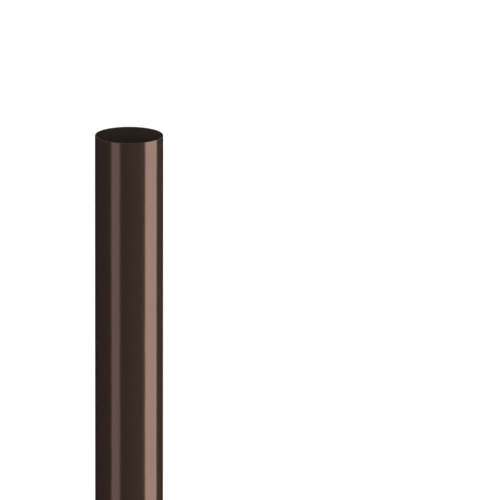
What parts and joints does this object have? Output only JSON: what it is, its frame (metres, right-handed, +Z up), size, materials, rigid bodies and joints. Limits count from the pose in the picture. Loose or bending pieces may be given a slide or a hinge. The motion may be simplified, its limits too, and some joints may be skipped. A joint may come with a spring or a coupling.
{
  "type": "steel downpipe",
  "caption": "Round coated steel downpipe, plain open top and a crimped lower end with a small shoulder and pressed grooves that enters the next pipe.",
  "frame": {"origin": "centre of the lower rim, which is the rim of the crimped end", "axes": "+Z up along the pipe's axis towards its plain end, -Y towards the side that faces the viewer, +X to the right of it; the seam is at the back, 9.7 degrees from +Y towards -X"},
  "size_m": [0.1012, 0.1011, 1],
  "materials": {
    "coated_steel": "satin"
  },
  "bodies": {
    "root": {"downpipe": "coated_steel"}
  },
  "joints": []
}
